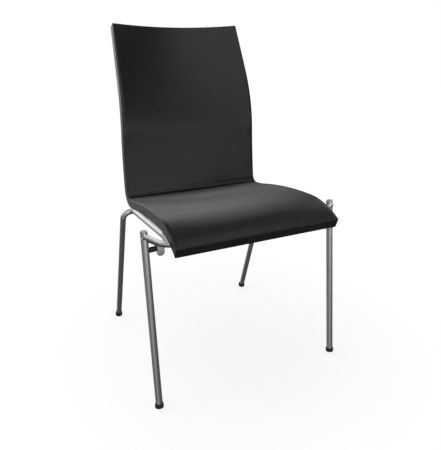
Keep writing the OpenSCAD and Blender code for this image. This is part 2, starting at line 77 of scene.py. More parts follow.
class Side(Enum):
    """A side of the chair as seen from in front of it; the value is the sign of its X."""

    LEFT = -1
    RIGHT = 1

    @property
    def word(self) -> str:
        """The side's word in piece names."""
        return self.name.lower()


CORNERS = [f"{row}_{side.word}" for row in ("front", "rear") for side in Side]


# Finishes


def linear(hex_colour: str) -> tuple[float, ...]:
    """Turns an sRGB hex colour into linear RGBA.

    Args:
        hex_colour: six hex digits after a hash sign.

    Returns:
        The four linear values that shader sockets take.
    """
    values = [int(hex_colour[i:i + 2], 16) / 255 for i in (1, 3, 5)]
    straight = (v / 12.92 if v <= 0.04045 else ((v + 0.055) / 1.055) ** 2.4 for v in values)
    return (*straight, 1.0)


def per_metre(size_mm: float) -> float:
    """The scale of a texture whose features are size_mm across, in coordinates of metres."""
    return 1000 / size_mm


def feed(tree: NodeTree, node: Node, inputs: dict) -> None:
    """Sets or links a node's inputs.

    Args:
        tree: the node's tree.
        node: the node that is fed.
        inputs: socket names or numbers, each with a value, an output socket to link from, or a
            node whose first output it is linked from.
    """
    for key, value in inputs.items():
        if isinstance(value, Node):
            value = value.outputs[0]
        if isinstance(value, NodeSocket):
            tree.links.new(value, node.inputs[key])
        else:
            node.inputs[key].default_value = value


def add_node(tree: NodeTree, kind: str, inputs: Optional[dict] = None, **settings: str) -> Node:
    """Adds a node with its settings and links.

    Args:
        tree: the node tree that gets the node.
        kind: the node's type name, less the words ShaderNode.
        inputs: what feeds its sockets.
        settings: its attributes.

    Returns:
        The new node.
    """
    node = tree.nodes.new("ShaderNode" + kind)
    for name, value in settings.items():
        setattr(node, name, value)
    feed(tree, node, inputs or {})
    return node


def new_material(name: str, constants: dict) -> tuple[Material, NodeTree, Node]:
    """Starts a material.

    Args:
        name: the real material's name.
        constants: values for the shader's own sockets.

    Returns:
        The material, its node tree and its Principled shader.
    """
    material = bpy.data.materials.new(name)
    material.use_nodes = True
    tree = material.node_tree
    tree.nodes.clear()
    shader = add_node(tree, "BsdfPrincipled", constants)
    add_node(tree, "OutputMaterial", {"Surface": shader})
    return material, tree, shader


def lay_finish(tree: NodeTree, shader: Node, colours: tuple, relief: tuple,
               shine: Optional[tuple] = None) -> None:
    """Gives a shader its colour, its fine relief and its roughness.

    Args:
        tree: the material's node tree.
        shader: its Principled shader.
        colours: share of the second colour, and both colours in sRGB hex.
        relief: height, strength, and depth in millimetres.
        shine: the value that the roughness follows, its range, and the roughness at both ends.
    """
    share, first, second = colours
    mixed = add_node(tree, "Mix", {0: share, 6: linear(first), 7: linear(second)}, data_type="RGBA")
    height, strength, depth_mm = relief
    bump = add_node(tree, "Bump", {
        "Height": height, "Strength": strength, "Distance": depth_mm * MM})
    feed(tree, shader, {"Base Color": mixed.outputs[2], "Normal": bump})
    if shine:
        sockets = ("Value", "From Min", "From Max", "To Min", "To Max")
        rough = add_node(tree, "MapRange", dict(zip(sockets, shine)))
        feed(tree, shader, {"Roughness": rough})


@dataclass(frozen=True)
class CoatedUpholstery:
    """Polyurethane-coated upholstery cloth, calendered smooth and stretched over foam.

    The coating gives a satin surface with a fine pressed grain, and rubs a little glossier and
    greyer where people touch it.
    """

    name: str = "satin black coated upholstery"
    colour: str = "#161617"
    rubbed: str = "#1A1A1B"
    roughness: float = 0.17
    roughness_change: float = 0.03
    ior: float = 1.38
    grain_mm: float = 1.3  # real pores are about 0.5 mm: drawn coarser so that they show
    grain_depth_mm: float = 0.035
    patch_mm: float = 55.0
    crease_at_mm: Optional[float] = None
    crease_reach_mm: float = 125.0
    crease_edge_mm: float = 4.0
    specular_level: float = 0.5
    # specular level at the crease: painted shade
    crease_shade_level: float = 0.03

    def paint_crease_shade(self, tree: NodeTree, shader: Node) -> None:
        """Paints shade into the crease: the specular level falls towards it, dimming the
        reflections that the back would hide there.

        Args:
            tree: the material's node tree.
            shader: its Principled shader.
        """
        cloth = add_node(tree, "UVMap", uv_map="cloth")
        along = add_node(tree, "SeparateXYZ", {"Vector": cloth}).outputs["Y"]
        crease = self.crease_at_mm
        shiny, shaded = math.sqrt(self.specular_level), math.sqrt(self.crease_shade_level)
        seat = add_node(tree, "MapRange", {
            "Value": along, "From Min": (crease - self.crease_reach_mm) * MM,
            "From Max": crease * MM, "To Min": shiny, "To Max": shaded},
            interpolation_type="SMOOTHSTEP")
        back = add_node(tree, "MapRange", {
            "Value": along, "From Min": crease * MM,
            "From Max": (crease + self.crease_edge_mm) * MM, "To Min": shaded, "To Max": shiny})
        root = add_node(tree, "Math", {0: seat, 1: back}, operation="MAXIMUM")
        level = add_node(tree, "Math", {0: root, 1: root}, operation="MULTIPLY")
        # painted shade: the reflection dims towards the crease
        feed(tree, shader, {"Specular IOR Level": level})

    def material(self) -> Material:
        """Makes the material.

        Returns:
            The finished material.
        """
        material, tree, shader = new_material(self.name, {"IOR": self.ior})
        place = add_node(tree, "TexCoord").outputs["Object"]
        patches = add_node(tree, "TexNoise", {
            "Vector": place, "Scale": per_metre(self.patch_mm), "Detail": 4.0, "Roughness": 0.55})
        spread = add_node(tree, "MapRange", {"Value": patches, "From Min": 0.35, "From Max": 0.7})
        grain = add_node(tree, "TexVoronoi", {
            "Vector": place, "Scale": per_metre(self.grain_mm)}, feature="DISTANCE_TO_EDGE")
        furrows = add_node(tree, "MapRange", {"Value": grain, "From Min": 0.0, "From Max": 0.18})
        soft = add_node(tree, "TexNoise", {
            "Vector": place, "Scale": per_metre(self.grain_mm * 3), "Detail": 3.0})
        height = add_node(tree, "Math", {0: soft, 1: 0.7, 2: furrows}, operation="MULTIPLY_ADD")
        half = self.roughness_change / 2
        lay_finish(tree, shader, (spread, self.colour, self.rubbed),
                   (height, 0.35, self.grain_depth_mm),
                   (patches, 0.3, 0.7, self.roughness + half, self.roughness - half))
        # painted shade in the crease
        if self.crease_at_mm is not None:
            self.paint_crease_shade(tree, shader)
        return material


@dataclass(frozen=True)
class SatinChrome:
    """Chromium plating on drawn steel tube, brushed before plating.

    The brushing along the tube softens the mirror a little and draws faint lengthwise streaks.
    """

    name: str = "satin chrome on steel tube"
    colour: str = "#C4C4C5"
    dulled: str = "#B6B6B8"
    roughness: float = 0.3
    roughness_change: float = 0.06
    streak_mm: float = 1.1
    streak_ratio: float = 40.0
    streak_depth_mm: float = 0.012
    cloud_mm: float = 30.0
    attribute: str = "tube_space"

    def material(self) -> Material:
        """Makes the material; it reads the tube's own coordinates: across, across and along.

        Returns:
            The finished material.
        """
        material, tree, shader = new_material(self.name, {"Metallic": 1.0})
        place = add_node(tree, "Attribute", attribute_name=self.attribute).outputs["Vector"]
        stretched = add_node(tree, "Mapping", {
            "Vector": place, "Scale": (1.0, 1.0, 1 / self.streak_ratio)})
        streaks = add_node(tree, "TexNoise", {
            "Vector": stretched, "Scale": per_metre(self.streak_mm), "Detail": 5.0,
            "Roughness": 0.6})
        cloud = add_node(tree, "TexNoise", {
            "Vector": place, "Scale": per_metre(self.cloud_mm), "Detail": 3.0})
        both = add_node(tree, "Math", {0: streaks, 1: 0.6, 2: cloud}, operation="MULTIPLY_ADD")
        half = self.roughness_change / 2
        lay_finish(tree, shader, (cloud, self.colour, self.dulled),
                   (streaks, 0.3, self.streak_depth_mm),
                   (both, 0.4, 1.2, self.roughness - half, self.roughness + half))
        return material


@dataclass(frozen=True)
class ZincPlate:
    """Bright zinc plating on pressed or turned steel: dull, slightly blue, faintly clouded."""

    name: str = "zinc-plated steel"
    colour: str = "#D2D4D6"
    cloudy: str = "#BDBFC2"
    smoothest: float = 0.4
    roughest: float = 0.58
    cloud_mm: float = 4.0
    scratch_mm: float = 0.7
    scratch_depth_mm: float = 0.02

    def material(self) -> Material:
        """Makes the material.

        Returns:
            The finished material.
        """
        material, tree, shader = new_material(self.name, {"Metallic": 1.0})
        place = add_node(tree, "TexCoord").outputs["Object"]
        cloud = add_node(tree, "TexNoise", {
            "Vector": place, "Scale": per_metre(self.cloud_mm), "Detail": 6.0, "Roughness": 0.65})
        spread = add_node(tree, "MapRange", {"Value": cloud, "From Min": 0.35, "From Max": 0.65})
        scratches = add_node(tree, "TexNoise", {
            "Vector": place, "Scale": per_metre(self.scratch_mm), "Detail": 2.0})
        lay_finish(tree, shader, (spread, self.colour, self.cloudy),
                   (scratches, 0.2, self.scratch_depth_mm),
                   (cloud, 0.3, 0.7, self.smoothest, self.roughest))
        return material


@dataclass(frozen=True)
class MouldedPolymer:
    """A black polymer as it comes from the mould, eroded to a fine matt texture.

    Near the floor it is scuffed grey. It serves for the polyethylene glides and stand-offs, and,
    rougher and blacker, for the rubber sleeves.
    """

    name: str = "moulded black polyethylene"
    colour: str = "#17181A"
    scuffed: str = "#3A3A3B"
    smoothest: float = 0.41
    roughest: float = 0.54
    ior: float = 1.5
    texture_mm: float = 0.5
    texture_depth_mm: float = 0.03
    mark_mm: float = 2.5
    scuff_share: float = 0.8
    scuff_height_mm: float = 5.0

    def material(self) -> Material:
        """Makes the material.

        Returns:
            The finished material.
        """
        material, tree, shader = new_material(self.name, {"IOR": self.ior})
        place = add_node(tree, "TexCoord").outputs["Object"]
        parts = add_node(tree, "SeparateXYZ", {"Vector": place})
        low = add_node(tree, "MapRange", {
            "Value": parts.outputs["Z"], "From Min": 0.0, "From Max": self.scuff_height_mm * MM,
            "To Min": self.scuff_share, "To Max": 0.0})
        marks = add_node(tree, "TexNoise", {
            "Vector": place, "Scale": per_metre(self.mark_mm), "Detail": 5.0, "Roughness": 0.7})
        scuff = add_node(tree, "Math", {0: low, 1: marks}, operation="MULTIPLY")
        texture = add_node(tree, "TexNoise", {
            "Vector": place, "Scale": per_metre(self.texture_mm), "Detail": 2.0})
        lay_finish(tree, shader, (scuff, self.colour, self.scuffed),
                   (texture, 0.35, self.texture_depth_mm),
                   (marks, 0.3, 0.7, self.smoothest, self.roughest))
        return material


@dataclass(frozen=True)
class BirchPlywood:
    """Moulded birch plywood, sanded: pale brown, with a fine straight figure and darker flecks."""

    name: str = "moulded birch plywood"
    colour: str = "#CBB08A"
    late_wood: str = "#A98961"
    roughness: float = 0.6
    ior: float = 1.5
    figure_mm: float = 3.5
    figure_ratio: float = 14.0
    figure_depth_mm: float = 0.05

    def material(self) -> Material:
        """Makes the material.

        Returns:
            The finished material.
        """
        material, tree, shader = new_material(self.name, {
            "IOR": self.ior, "Roughness": self.roughness})
        place = add_node(tree, "TexCoord").outputs["Object"]
        stretched = add_node(tree, "Mapping", {
            "Vector": place, "Scale": (1.0, 1 / self.figure_ratio, 1 / self.figure_ratio)})
        figure = add_node(tree, "TexNoise", {
            "Vector": stretched, "Scale": per_metre(self.figure_mm), "Detail": 6.0,
            "Roughness": 0.6, "Distortion": 0.4})
        spread = add_node(tree, "MapRange", {"Value": figure, "From Min": 0.35, "From Max": 0.7})
        lay_finish(tree, shader, (spread, self.colour, self.late_wood),
                   (figure, 0.3, self.figure_depth_mm))
        return material


@cache
def material_for(slot: Slot) -> Material:
    """The chair's material for a slot, made when it is first asked for.

    Args:
        slot: the material slot.

    Returns:
        The slot's material.
    """
    finishes = {
        Slot.COVER: CoatedUpholstery(crease_at_mm=ShellForm().crease_s),
        Slot.COVER_EDGE: CoatedUpholstery("satin black coated edge band", "#161617", "#1C1C1E",
                                          roughness=0.34, grain_mm=1.1),
        Slot.PLYWOOD: BirchPlywood(),
        Slot.TUBE_STEEL: SatinChrome(),
        Slot.PLAIN_STEEL: ZincPlate(),
        Slot.BLACK_PLASTIC: MouldedPolymer(),
        Slot.BLACK_RUBBER: MouldedPolymer("black vulcanised rubber", "#0E0E0F", "#1D1D1D",
                                          smoothest=0.57, roughest=0.7, texture_mm=0.8),
    }
    return finishes[slot].material()


# Shared shaping


def place_of(x: float, y: float, z: float) -> Vector:
    """A point in metres of the shared frame.

    Args:
        x: millimetres to the sitter's left.
        y: millimetres behind the front feet.
        z: millimetres above the floor.

    Returns:
        The point.
    """
    return Vector((x * MM, (y - MIDDLE_Y) * MM, z * MM))


def new_object(name: str, data: ID) -> Object:
    """Puts a new object into the scene.

    Args:
        name: its name.
        data: its mesh, lamp or camera data.

    Returns:
        The object.
    """
    added = bpy.data.objects.new(name, data)
    bpy.context.scene.collection.objects.link(added)
    return added


def meshed(name: str, bm: BMesh) -> Object:
    """Puts a bmesh into the scene.

    Args:
        name: name of its object.
        bm: the bmesh, which is freed.

    Returns:
        The object.
    """
    mesh = bpy.data.meshes.new(name)
    bm.to_mesh(mesh)
    bm.free()
    return new_object(name, mesh)


def finished(name: str, bm: BMesh, slot: Slot, node: str = "", crease_deg: float = 35.0) -> Object:
    """Turns a bmesh into a piece of the chair: smooth, dressed, riding on the frame.

    Args:
        name: the piece's name.
        bm: its mesh, which is freed.
        slot: the material slot that it takes its finish from.
        node: the CAD node that it stands for, if any.
        crease_deg: edges that turn more than this stay sharp.

    Returns:
        The new object.
    """
    for face in bm.faces:
        face.smooth = True
    for edge in bm.edges:
        if len(edge.link_faces) == 2 and edge.calc_face_angle(0.0) > math.radians(crease_deg):
            edge.smooth = False
    piece = meshed(name, bm)
    piece.data.materials.append(material_for(slot))
    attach(piece, BODY)
    if node:
        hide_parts(node)
    log.info("%s: %d faces, %s", name, len(piece.data.polygons), slot.value)
    return piece


def dress(node: str, slot: Slot) -> None:
    """Gives a CAD node that stays its better material.

    Args:
        node: the node's name.
        slot: the slot it takes its finish from.
    """
    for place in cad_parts[node].material_slots:
        place.material = material_for(slot)
    log.info("%s: CAD node, %s", node, slot.value)


def verts_in(geom: list) -> list[BMVert]:
    """The vertices among an operator's results."""
    return [item for item in geom if isinstance(item, BMVert)]


def grid_spot(vert: BMVert, rows: int, columns: int) -> tuple[int, int]:
    """Row and column of a vertex of a grid from -1 to 1 with that many steps each way."""
    return round((vert.co.y + 1) / 2 * rows), round((vert.co.x + 1) / 2 * columns)


def faced_out(bm: BMesh) -> BMesh:
    """Turns a bmesh's faces outwards and returns it."""
    bmesh.ops.recalc_face_normals(bm, faces=bm.faces)
    return bm


def spun_round(bm: BMesh, outline: list, steps: int) -> None:
    """Spins an outline a full turn round the Z axis."""
    bmesh.ops.spin(bm, geom=outline, cent=(0, 0, 0), axis=(0, 0, 1), dvec=(0, 0, 0), angle=math.tau,
                   steps=steps, use_merge=True, use_duplicate=False)


def stood_up(bm: BMesh) -> None:
    """Turns a bmesh a quarter round the X axis, so that what lay flat stands upright."""
    quarter = Matrix.Rotation(math.pi / 2, 3, "X")
    bmesh.ops.rotate(bm, verts=bm.verts, cent=(0, 0, 0), matrix=quarter)


def turned(profile: list[Pair], base: Vector, along: Vector, steps: int = 48) -> BMesh:
    """Spins an outline round an axis into a closed piece.

    Args:
        profile: radius and height of each point in millimetres; it starts and ends on the axis, or
            closes on itself.
        base: where the axis starts, in metres.
        along: the axis's direction.
        steps: steps of the full turn.

    Returns:
        The piece's bmesh.
    """
    bm = bmesh.new()
    chain = [bm.verts.new((radius * MM, 0.0, height * MM)) for radius, height in profile]
    edges = [bm.edges.new(pair) for pair in zip(chain, chain[1:])]
    if profile[0][0] > 0:
        edges.append(bm.edges.new((chain[-1], chain[0])))
    spun_round(bm, chain + edges, steps)
    bmesh.ops.remove_doubles(bm, verts=bm.verts, dist=MERGE)
    faced_out(bm)
    turn = Vector((0, 0, 1)).rotation_difference(along).to_matrix().to_4x4()
    bmesh.ops.transform(bm, matrix=Matrix.Translation(base) @ turn, verts=bm.verts)
    own_space(bm, base, along)
    return bm


def own_space(bm: BMesh, base: Vector, along: Vector) -> None:
    """Stores each point's place across and along the piece's axis for the chrome's streaks.

    Args:
        bm: the piece's bmesh.
        base: a point of its axis.
        along: the axis's direction.
    """
    layer = bm.verts.layers.float_vector.new(SatinChrome.attribute)
    turn = along.rotation_difference(Vector((0, 0, 1)))
    for vert in bm.verts:
        vert[layer] = turn @ (vert.co - base)


def arc(centre: Pair, radius: float, start_deg: float, end_deg: float,
        steps: int = 5) -> list[Pair]:
    """Points of an arc in an outline.

    Args:
        centre: the arc's centre.
        radius: its radius.
        start_deg: where it starts, anticlockwise from the first axis.
        end_deg: where it ends.
        steps: steps along it.

    Returns:
        The points from start to end.
    """
    turns = [math.radians(start_deg + (end_deg - start_deg) * i / steps) for i in range(steps + 1)]
    return [(centre[0] + radius * math.cos(t), centre[1] + radius * math.sin(t)) for t in turns]


# The shell


@dataclass(frozen=True)
class ShellForm:
    """The curved form of the shell in millimetres, by path length, width and depth."""

    seat_front_z: float = 420.5
    seat_overhang: float = 38.0
    seat_front_w: float = 431.0
    crease_w: float = 406.0
    back_top_w: float = 370.0
    bow_depth: float = 3.5
    shell_t: float = 23.5
    core_t: float = 9.0
    seat_extra_t: float = 1.5
    seat_dish_depth: float = 9.0
    back_dish_depth: float = 20.0
    dish_bias: float = 1.6
    nose_angle: float = 35.0
    front_edge_rake: float = 14.0
    band_t: float = 2.2
    soft_gap: float = 0.3
    row_margin: float = 0.6
    stretches: tuple[Pair, ...] = (  # each one's length and turn in degrees, from the front edge
        (119.0, -35.0), (222.0, -12.0), (45.0, 9.0), (math.radians(20.0 * 87.0), 87.0),
        (146.0, 6.0), (165.0, -23.0), (140.0, 0.0))
    steps: tuple[int, ...] = (26, 44, 12, 16, 30, 32, 26)
    end_steps: int = 56

    @property
    def length(self) -> float:
        """Length of the path from the seat's front edge to the back's top edge."""
        return sum(length for length, _ in self.stretches)

    @property
    def crease_s(self) -> float:
        """Path length at the middle of the crease."""
        return sum(length for length, _ in self.stretches[:3]) + self.stretches[3][0] / 2

    @property
    def core_depth(self) -> float:
        """Depth of the plywood's face below the shell's face."""
        return (self.shell_t - self.core_t) / 2

    def side_edge(self, s: float) -> Triple:
        """The face's side edge.

        Args:
            s: path length.

        Returns:
            Its y and z, and its heading in radians.
        """
        y, z, turn = -self.seat_overhang, self.seat_front_z, math.radians(self.nose_angle)
        before = 0.0
        for number, (length, change_deg) in enumerate(self.stretches):
            last = number == len(self.stretches) - 1
            part = s - before if last else min(s - before, length)
            change = math.radians(change_deg) * part / length
            if change_deg == 0:
                y, z = y + part * math.cos(turn), z + part * math.sin(turn)
            else:
                radius = length / math.radians(change_deg)
                y += radius * (math.sin(turn + change) - math.sin(turn))
                z += radius * (math.cos(turn) - math.cos(turn + change))
            turn += change
            before += length
            if s <= before:
                break
        return y, z, turn

    def half_width(self, s: float) -> float:
        """Half the shell's width.

        Args:
            s: path length.

        Returns:
            Distance of the side edge from the middle plane.
        """
        low = min(1.0, s / self.crease_s)
        high = max(0.0, (s - self.crease_s) / (self.length - self.crease_s))
        width = (self.seat_front_w + (self.crease_w - self.seat_front_w) * low
                 + (self.back_top_w - self.crease_w) * high)
        return width / 2 + self.bow_depth * math.sin(math.pi * high)

    def dish(self, s: float) -> float:
        """The shell's dish.

        Args:
            s: path length.

        Returns:
            How far the middle lies below or behind the side edges.
        """
        nose = self.stretches[0][0]
        if s < self.crease_s:
            share = max(0.0, (s - nose) / (self.crease_s - nose))
            return self.seat_dish_depth * math.sin(math.pi * share ** self.dish_bias)
        return self.back_dish_depth * (s - self.crease_s) / (self.length - self.crease_s)

    def thickness(self, s: float) -> float:
        """The shell's thickness at path length s."""
        share = s / (self.stretches[0][0] + self.stretches[1][0])
        return self.shell_t + (self.seat_extra_t * math.sin(math.pi * share) if share < 1 else 0.0)

    def point(self, s: float, x: float, depth: float) -> Vector:
        """A point of the shell.

        Args:
            s: path length.
            x: distance from the middle plane.
            depth: depth behind the face.

        Returns:
            The point in metres of the shared frame.
        """
        y, z, turn = self.side_edge(s)
        rake = math.radians(self.front_edge_rake) * max(0.0, 1 - s / self.stretches[0][0]) ** 2
        sink = self.dish(s) * (1 - (x / self.half_width(s)) ** 2)
        raked = depth / math.cos(rake)
        lean = turn - rake
        return place_of(x, y + raked * math.sin(lean) + sink * math.sin(turn),
                        z - raked * math.cos(lean) - sink * math.cos(turn))

    def stations(self, s0: float, s1: float) -> list[float]:
        """Path lengths of the rows between s0 and s1.

        Args:
            s0: start.
            s1: end.

        Returns:
            The rows' path lengths.
        """
        rows, before = [], 0.0
        for (length, _), count in zip(self.stretches, self.steps):
            rows += [before + length * k / count for k in range(count)]
            before += length
        return [s for s in rows if s0 + self.row_margin < s < s1 - self.row_margin]


@dataclass(frozen=True)
class Cover:
    """One padded face of the shell: foam under cloth, rolled down at its edges."""

    name: str
    node: str
    s0: float
    s1: float
    on_face: bool
    start_roll: float = 0.6
    end_roll: float = 0.6
    side_roll: float = 0.6
    pinch: float = 1.2
    pinch_reach: float = 18.0
    pinch_rows: tuple[float, ...] = (5, 7, 9.5, 12.5, 16)
    row_gap: float = 0.8
    roll_steps: int = 4
    across_steps: int = 60
    fill: float = 0.9

    def roll(self, radius: float) -> list[Pair]:
        """How far in from its edge, and how deep, each point of a rolled edge lies."""
        quarter = [math.radians(90 * k / self.roll_steps) for k in range(self.roll_steps + 1)]
        return [(radius * (1 - math.cos(t)), radius * (1 - math.sin(t))) for t in quarter]

    def rows(self, form: ShellForm) -> list[Pair]:
        """The pad's rows, closer together near the crease.

        Args:
            form: the shell's form.

        Returns:
            Path length of each row, and how far the rolled ends sink it.
        """
        start = [(self.s0 + away, sink) for away, sink in self.roll(self.start_roll)]
        end = [(self.s1 - away, sink) for away, sink in self.roll(self.end_roll)]
        first, last = self.s0 + self.start_roll, self.s1 - self.end_roll
        middle = form.stations(first, last)
        if self.on_face:
            near = [form.crease_s + side * away for side in (-1, 1) for away in self.pinch_rows]
            near = [s for s in near if first + form.row_margin < s < last - form.row_margin]
            far = [s for s in middle if all(abs(s - other) > self.row_gap for other in near)]
            middle = near + far
        return start + [(s, 0.0) for s in sorted(middle)] + end[::-1]

    def columns(self) -> list[tuple[int, float, float]]:
        """The pad's columns.

        Returns:
            Side, share of the flat middle or distance in from the side, and sink of each column.
        """
        left = [(-1, inwards, sink) for inwards, sink in self.roll(self.side_roll)]
        middle = [(0, 2 * k / self.across_steps - 1, 0.0) for k in range(1, self.across_steps)]
        right = [(1, inwards, sink) for _, inwards, sink in left[::-1]]
        return left + middle + right

    def mesh(self, form: ShellForm) -> BMesh:
        """Builds the closed pad.

        Args:
            form: the shell's form.

        Returns:
            The pad's bmesh, with a UV map in metres.
        """
        rows, columns = self.rows(form), self.columns()
        steps = (len(rows) - 1, len(columns) - 1)
        bm = bmesh.new()
        bmesh.ops.create_grid(bm, x_segments=steps[1], y_segments=steps[0], size=1.0)
        uv = bm.loops.layers.uv.new("cloth")
        spots = {vert: grid_spot(vert, *steps) for vert in bm.verts}
        inset = form.band_t + form.soft_gap
        inner_depth = (form.core_depth - form.soft_gap if self.on_face
                       else form.core_depth + form.core_t + form.soft_gap)

        def at(row: int, column: int) -> Triple:
            """Where a point of the grid belongs.

            Args:
                row: its row.
                column: its column.

            Returns:
                Its path length, place across and sink.
            """
            s, row_sink = rows[row]
            side, where, sink = columns[column]
            half = form.half_width(s) - inset
            x = side * (half - where) if side else where * (half - self.side_roll)
            return s, x, max(sink, row_sink)

        for face in bm.faces:
            for loop in face.loops:
                s, x, _ = at(*spots[loop.vert])
                loop[uv].uv = (x * MM, s * MM)
        grown = bmesh.ops.extrude_face_region(bm, geom=bm.faces[:], use_keep_orig=True)["geom"]
        for vert in verts_in(grown):
            s, x, sink = at(*grid_spot(vert, *steps))
            pinch = self.pinch * max(0.0, 1 - abs(s - form.crease_s) / self.pinch_reach) ** 2
            vert.co = form.point(s, x, sink + pinch if self.on_face else form.thickness(s) - sink)
        for vert, spot in spots.items():
            s, x, _ = at(*spot)
            vert.co = form.point(s, x, inner_depth)
        return faced_out(bm)


@dataclass(frozen=True)
class UpholsteredShell:
    """The padded one-piece seat and back, its edge band and the welt in its crease."""

    form: ShellForm = ShellForm()
    welt_d: float = 4.4
    welt_depth: float = 2.4
    flange_squareness: float = 0.4
    crease_roll: float = 0.9
    corner_radius: float = 3.0
    lip_radius: float = 1.1
    inner_radius: float = 0.5
    band_bulge: float = 0.25
    band_weave: float = 1.5
    welt_end_radius: float = 1.0
    hole_radius: float = 9.6
    hole_depth: float = 30.0
    crease_deg: float = 50.0

    def covers(self) -> list[Cover]:
        """Lays out the padded faces.

        Returns:
            The four covers.
        """
        form = self.form
        start, crease = form.band_t + form.soft_gap, form.crease_s
        end = form.length - start
        gap, hair = self.welt_d / 2 + form.soft_gap, form.soft_gap / 2
        return [
            Cover("seat_cover", "seat_pad", start, crease - gap, True, end_roll=self.crease_roll),
            Cover("back_cover", "back_pad", crease + gap, end, True, start_roll=self.crease_roll),
            Cover("seat_underside_cover", "seat_underside_pad", start, crease - hair, False,
                  across_steps=40),
            Cover("back_rear_cover", "back_rear_pad", crease + hair, end, False, across_steps=40),
        ]

    def band_loop(self) -> list[tuple[float, ...]]:
        """The band's inner line round the shell.

        Returns:
            Path length, place across, and the outward direction in both, for each point.
        """
        form, r, t = self.form, self.corner_radius, self.form.band_t
        start, end = r, form.length - r
        rows = [start] + form.stations(start, end) + [end]
        right = [(s, form.half_width(s) - t, 0.0, 1.0) for s in rows]

        def corner(s: float, turn_deg: float, towards_deg: float) -> list[tuple[float, ...]]:
            """The band's line round a right-hand corner.

            Args:
                s: path length of the corner's centre.
                turn_deg: direction in which it starts.
                towards_deg: direction in which it ends.

            Returns:
                Its points between the two.
            """
            ways = arc((0.0, 0.0), 1.0, turn_deg, towards_deg, 6)[1:-1]
            x = form.half_width(s) - r
            return [(s + (r - t) * ns, x + (r - t) * nx, ns, nx) for ns, nx in ways]

        def mirrored(points: list[tuple[float, ...]]) -> list[tuple[float, ...]]:
            """The same points on the left, in reverse."""
            return [(s, -x, ns, -nx) for s, x, ns, nx in points[::-1]]

        top_right, front_right = corner(end, 90, 0), corner(start, 180, 90)
        shares = [2 * k / form.end_steps - 1 for k in range(form.end_steps + 1)]
        top = [(form.length - t, -share * (form.half_width(end) - r), 1.0, 0.0) for share in shares]
        front = [(t, share * (form.half_width(start) - r), -1.0, 0.0) for share in shares]
        return (right + top_right + top + mirrored(top_right) + mirrored(right)
                + mirrored(front_right) + front + front_right)

    def band_section(self, thickness: float) -> list[Pair]:
        """The band's outline across: how far out from its inner line, and how deep.

        Args:
            thickness: the shell's thickness there.

        Returns:
            The outline's points, closed.
        """
        t, lip, small = self.form.band_t, self.lip_radius, self.inner_radius
        between = thickness - 2 * lip
        bulge = [(t + self.band_bulge * math.sin(math.pi * k / 8), lip + between * k / 8)
                 for k in range(1, 8)]
        return (arc((small, small), small, 180, 270, 2)
                + arc((t - lip, lip), lip, -90, 0, 6)[(1 if t - lip <= small else 0):]
                + bulge
                + arc((t - lip, thickness - lip), lip, 0, 90, 6)
                + arc((small, thickness - small), small, 90, 180, 2))

    def band_mesh(self) -> BMesh:
        """Builds the closed band round the shell.

        Returns:
            The band's bmesh, with a UV map in metres.
        """
        form = self.form
        loop = self.band_loop()
        count = len(self.band_section(form.shell_t))
        bm = bmesh.new()
        bmesh.ops.create_grid(bm, x_segments=count, y_segments=len(loop), size=1.0)
        uv = bm.loops.layers.uv.new("cloth")
        travelled = [0.0]
        for a, b in zip(loop, loop[1:] + loop[:1]):
            travelled.append(travelled[-1] + math.hypot(b[0] - a[0], b[1] - a[1]))
        spots = {vert: grid_spot(vert, len(loop), count) for vert in bm.verts}
        for face in bm.faces:
            for corner in face.loops:
                row, column = spots[corner.vert]
                corner[uv].uv = (travelled[row] * MM, column * self.band_weave * MM)
        for vert, (row, column) in spots.items():
            s, x, ns, nx = loop[row % len(loop)]
            out, depth = self.band_section(form.thickness(s))[column % count]
            vert.co = form.point(s + ns * out, x + nx * out, depth)
        bmesh.ops.remove_doubles(bm, verts=bm.verts, dist=MERGE)
        return faced_out(bm)

    def welt_mesh(self) -> BMesh:
        """Builds the crease's welt: a soft cord whose sewing flange goes down between the pads.

        Returns:
            The welt's bmesh.
        """
        form = self.form
        half = form.half_width(form.crease_s) - form.band_t - form.soft_gap
        radius, small = self.welt_d / 2, self.welt_end_radius
        profile = ([(0.0, -half)] + arc((radius - small, small - half), small, -90, 0, 3)
                   + [(radius, x) for x in (-half / 2, 0.0, half / 2)]
                   + arc((radius - small, half - small), small, 0, 90, 3) + [(0.0, half)])
        base = form.point(form.crease_s, 0.0, self.welt_depth)
        down = (form.point(form.crease_s, 0.0, self.welt_depth + 1) - base).normalized()
        aside = down.cross(Vector((1, 0, 0)))
        reach = (form.core_depth - form.soft_gap - self.welt_depth) / radius
        bm = turned(profile, base, Vector((1, 0, 0)), 20)
        for vert in bm.verts:
            deep, out = (vert.co - base).dot(down), (vert.co - base).dot(aside)
            if deep > 1e-6:
                far = math.hypot(deep, out)
                squared = (abs(out) / far) ** self.flange_squareness
                vert.co += aside * (math.copysign(far * squared, out) - out)
                vert.co += down * (reach * far * (deep / far) ** self.flange_squareness - deep)
        return bm

    def cut_standoff_holes(self, cover: Object) -> None:
        """Cuts the stand-offs' holes through the cover under the seat.

        Args:
            cover: the cover's object, whose mesh is replaced by the cut one.
        """
        bm = bmesh.new()
        for corner in CORNERS:
            low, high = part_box(f"{corner}_standoff")
            hole = bmesh.ops.create_cone(
                bm, cap_ends=True, segments=48, radius1=self.hole_radius * MM,
                radius2=self.hole_radius * MM, depth=self.hole_depth * MM)["verts"]
            bmesh.ops.translate(bm, verts=hole, vec=(Vector(low) + Vector(high)) / 2)
        cutter = meshed("standoff_holes", bm)
        cut = cover.modifiers.new("standoff_holes", "BOOLEAN")
        cut.operation, cut.solver, cut.object = "DIFFERENCE", "EXACT", cutter
        graph = bpy.context.evaluated_depsgraph_get()
        result = bpy.data.meshes.new_from_object(cover.evaluated_get(graph))
        cover.modifiers.clear()
        old, cover.data = cover.data, result
        bpy.data.meshes.remove(old)
        bpy.data.objects.remove(cutter)

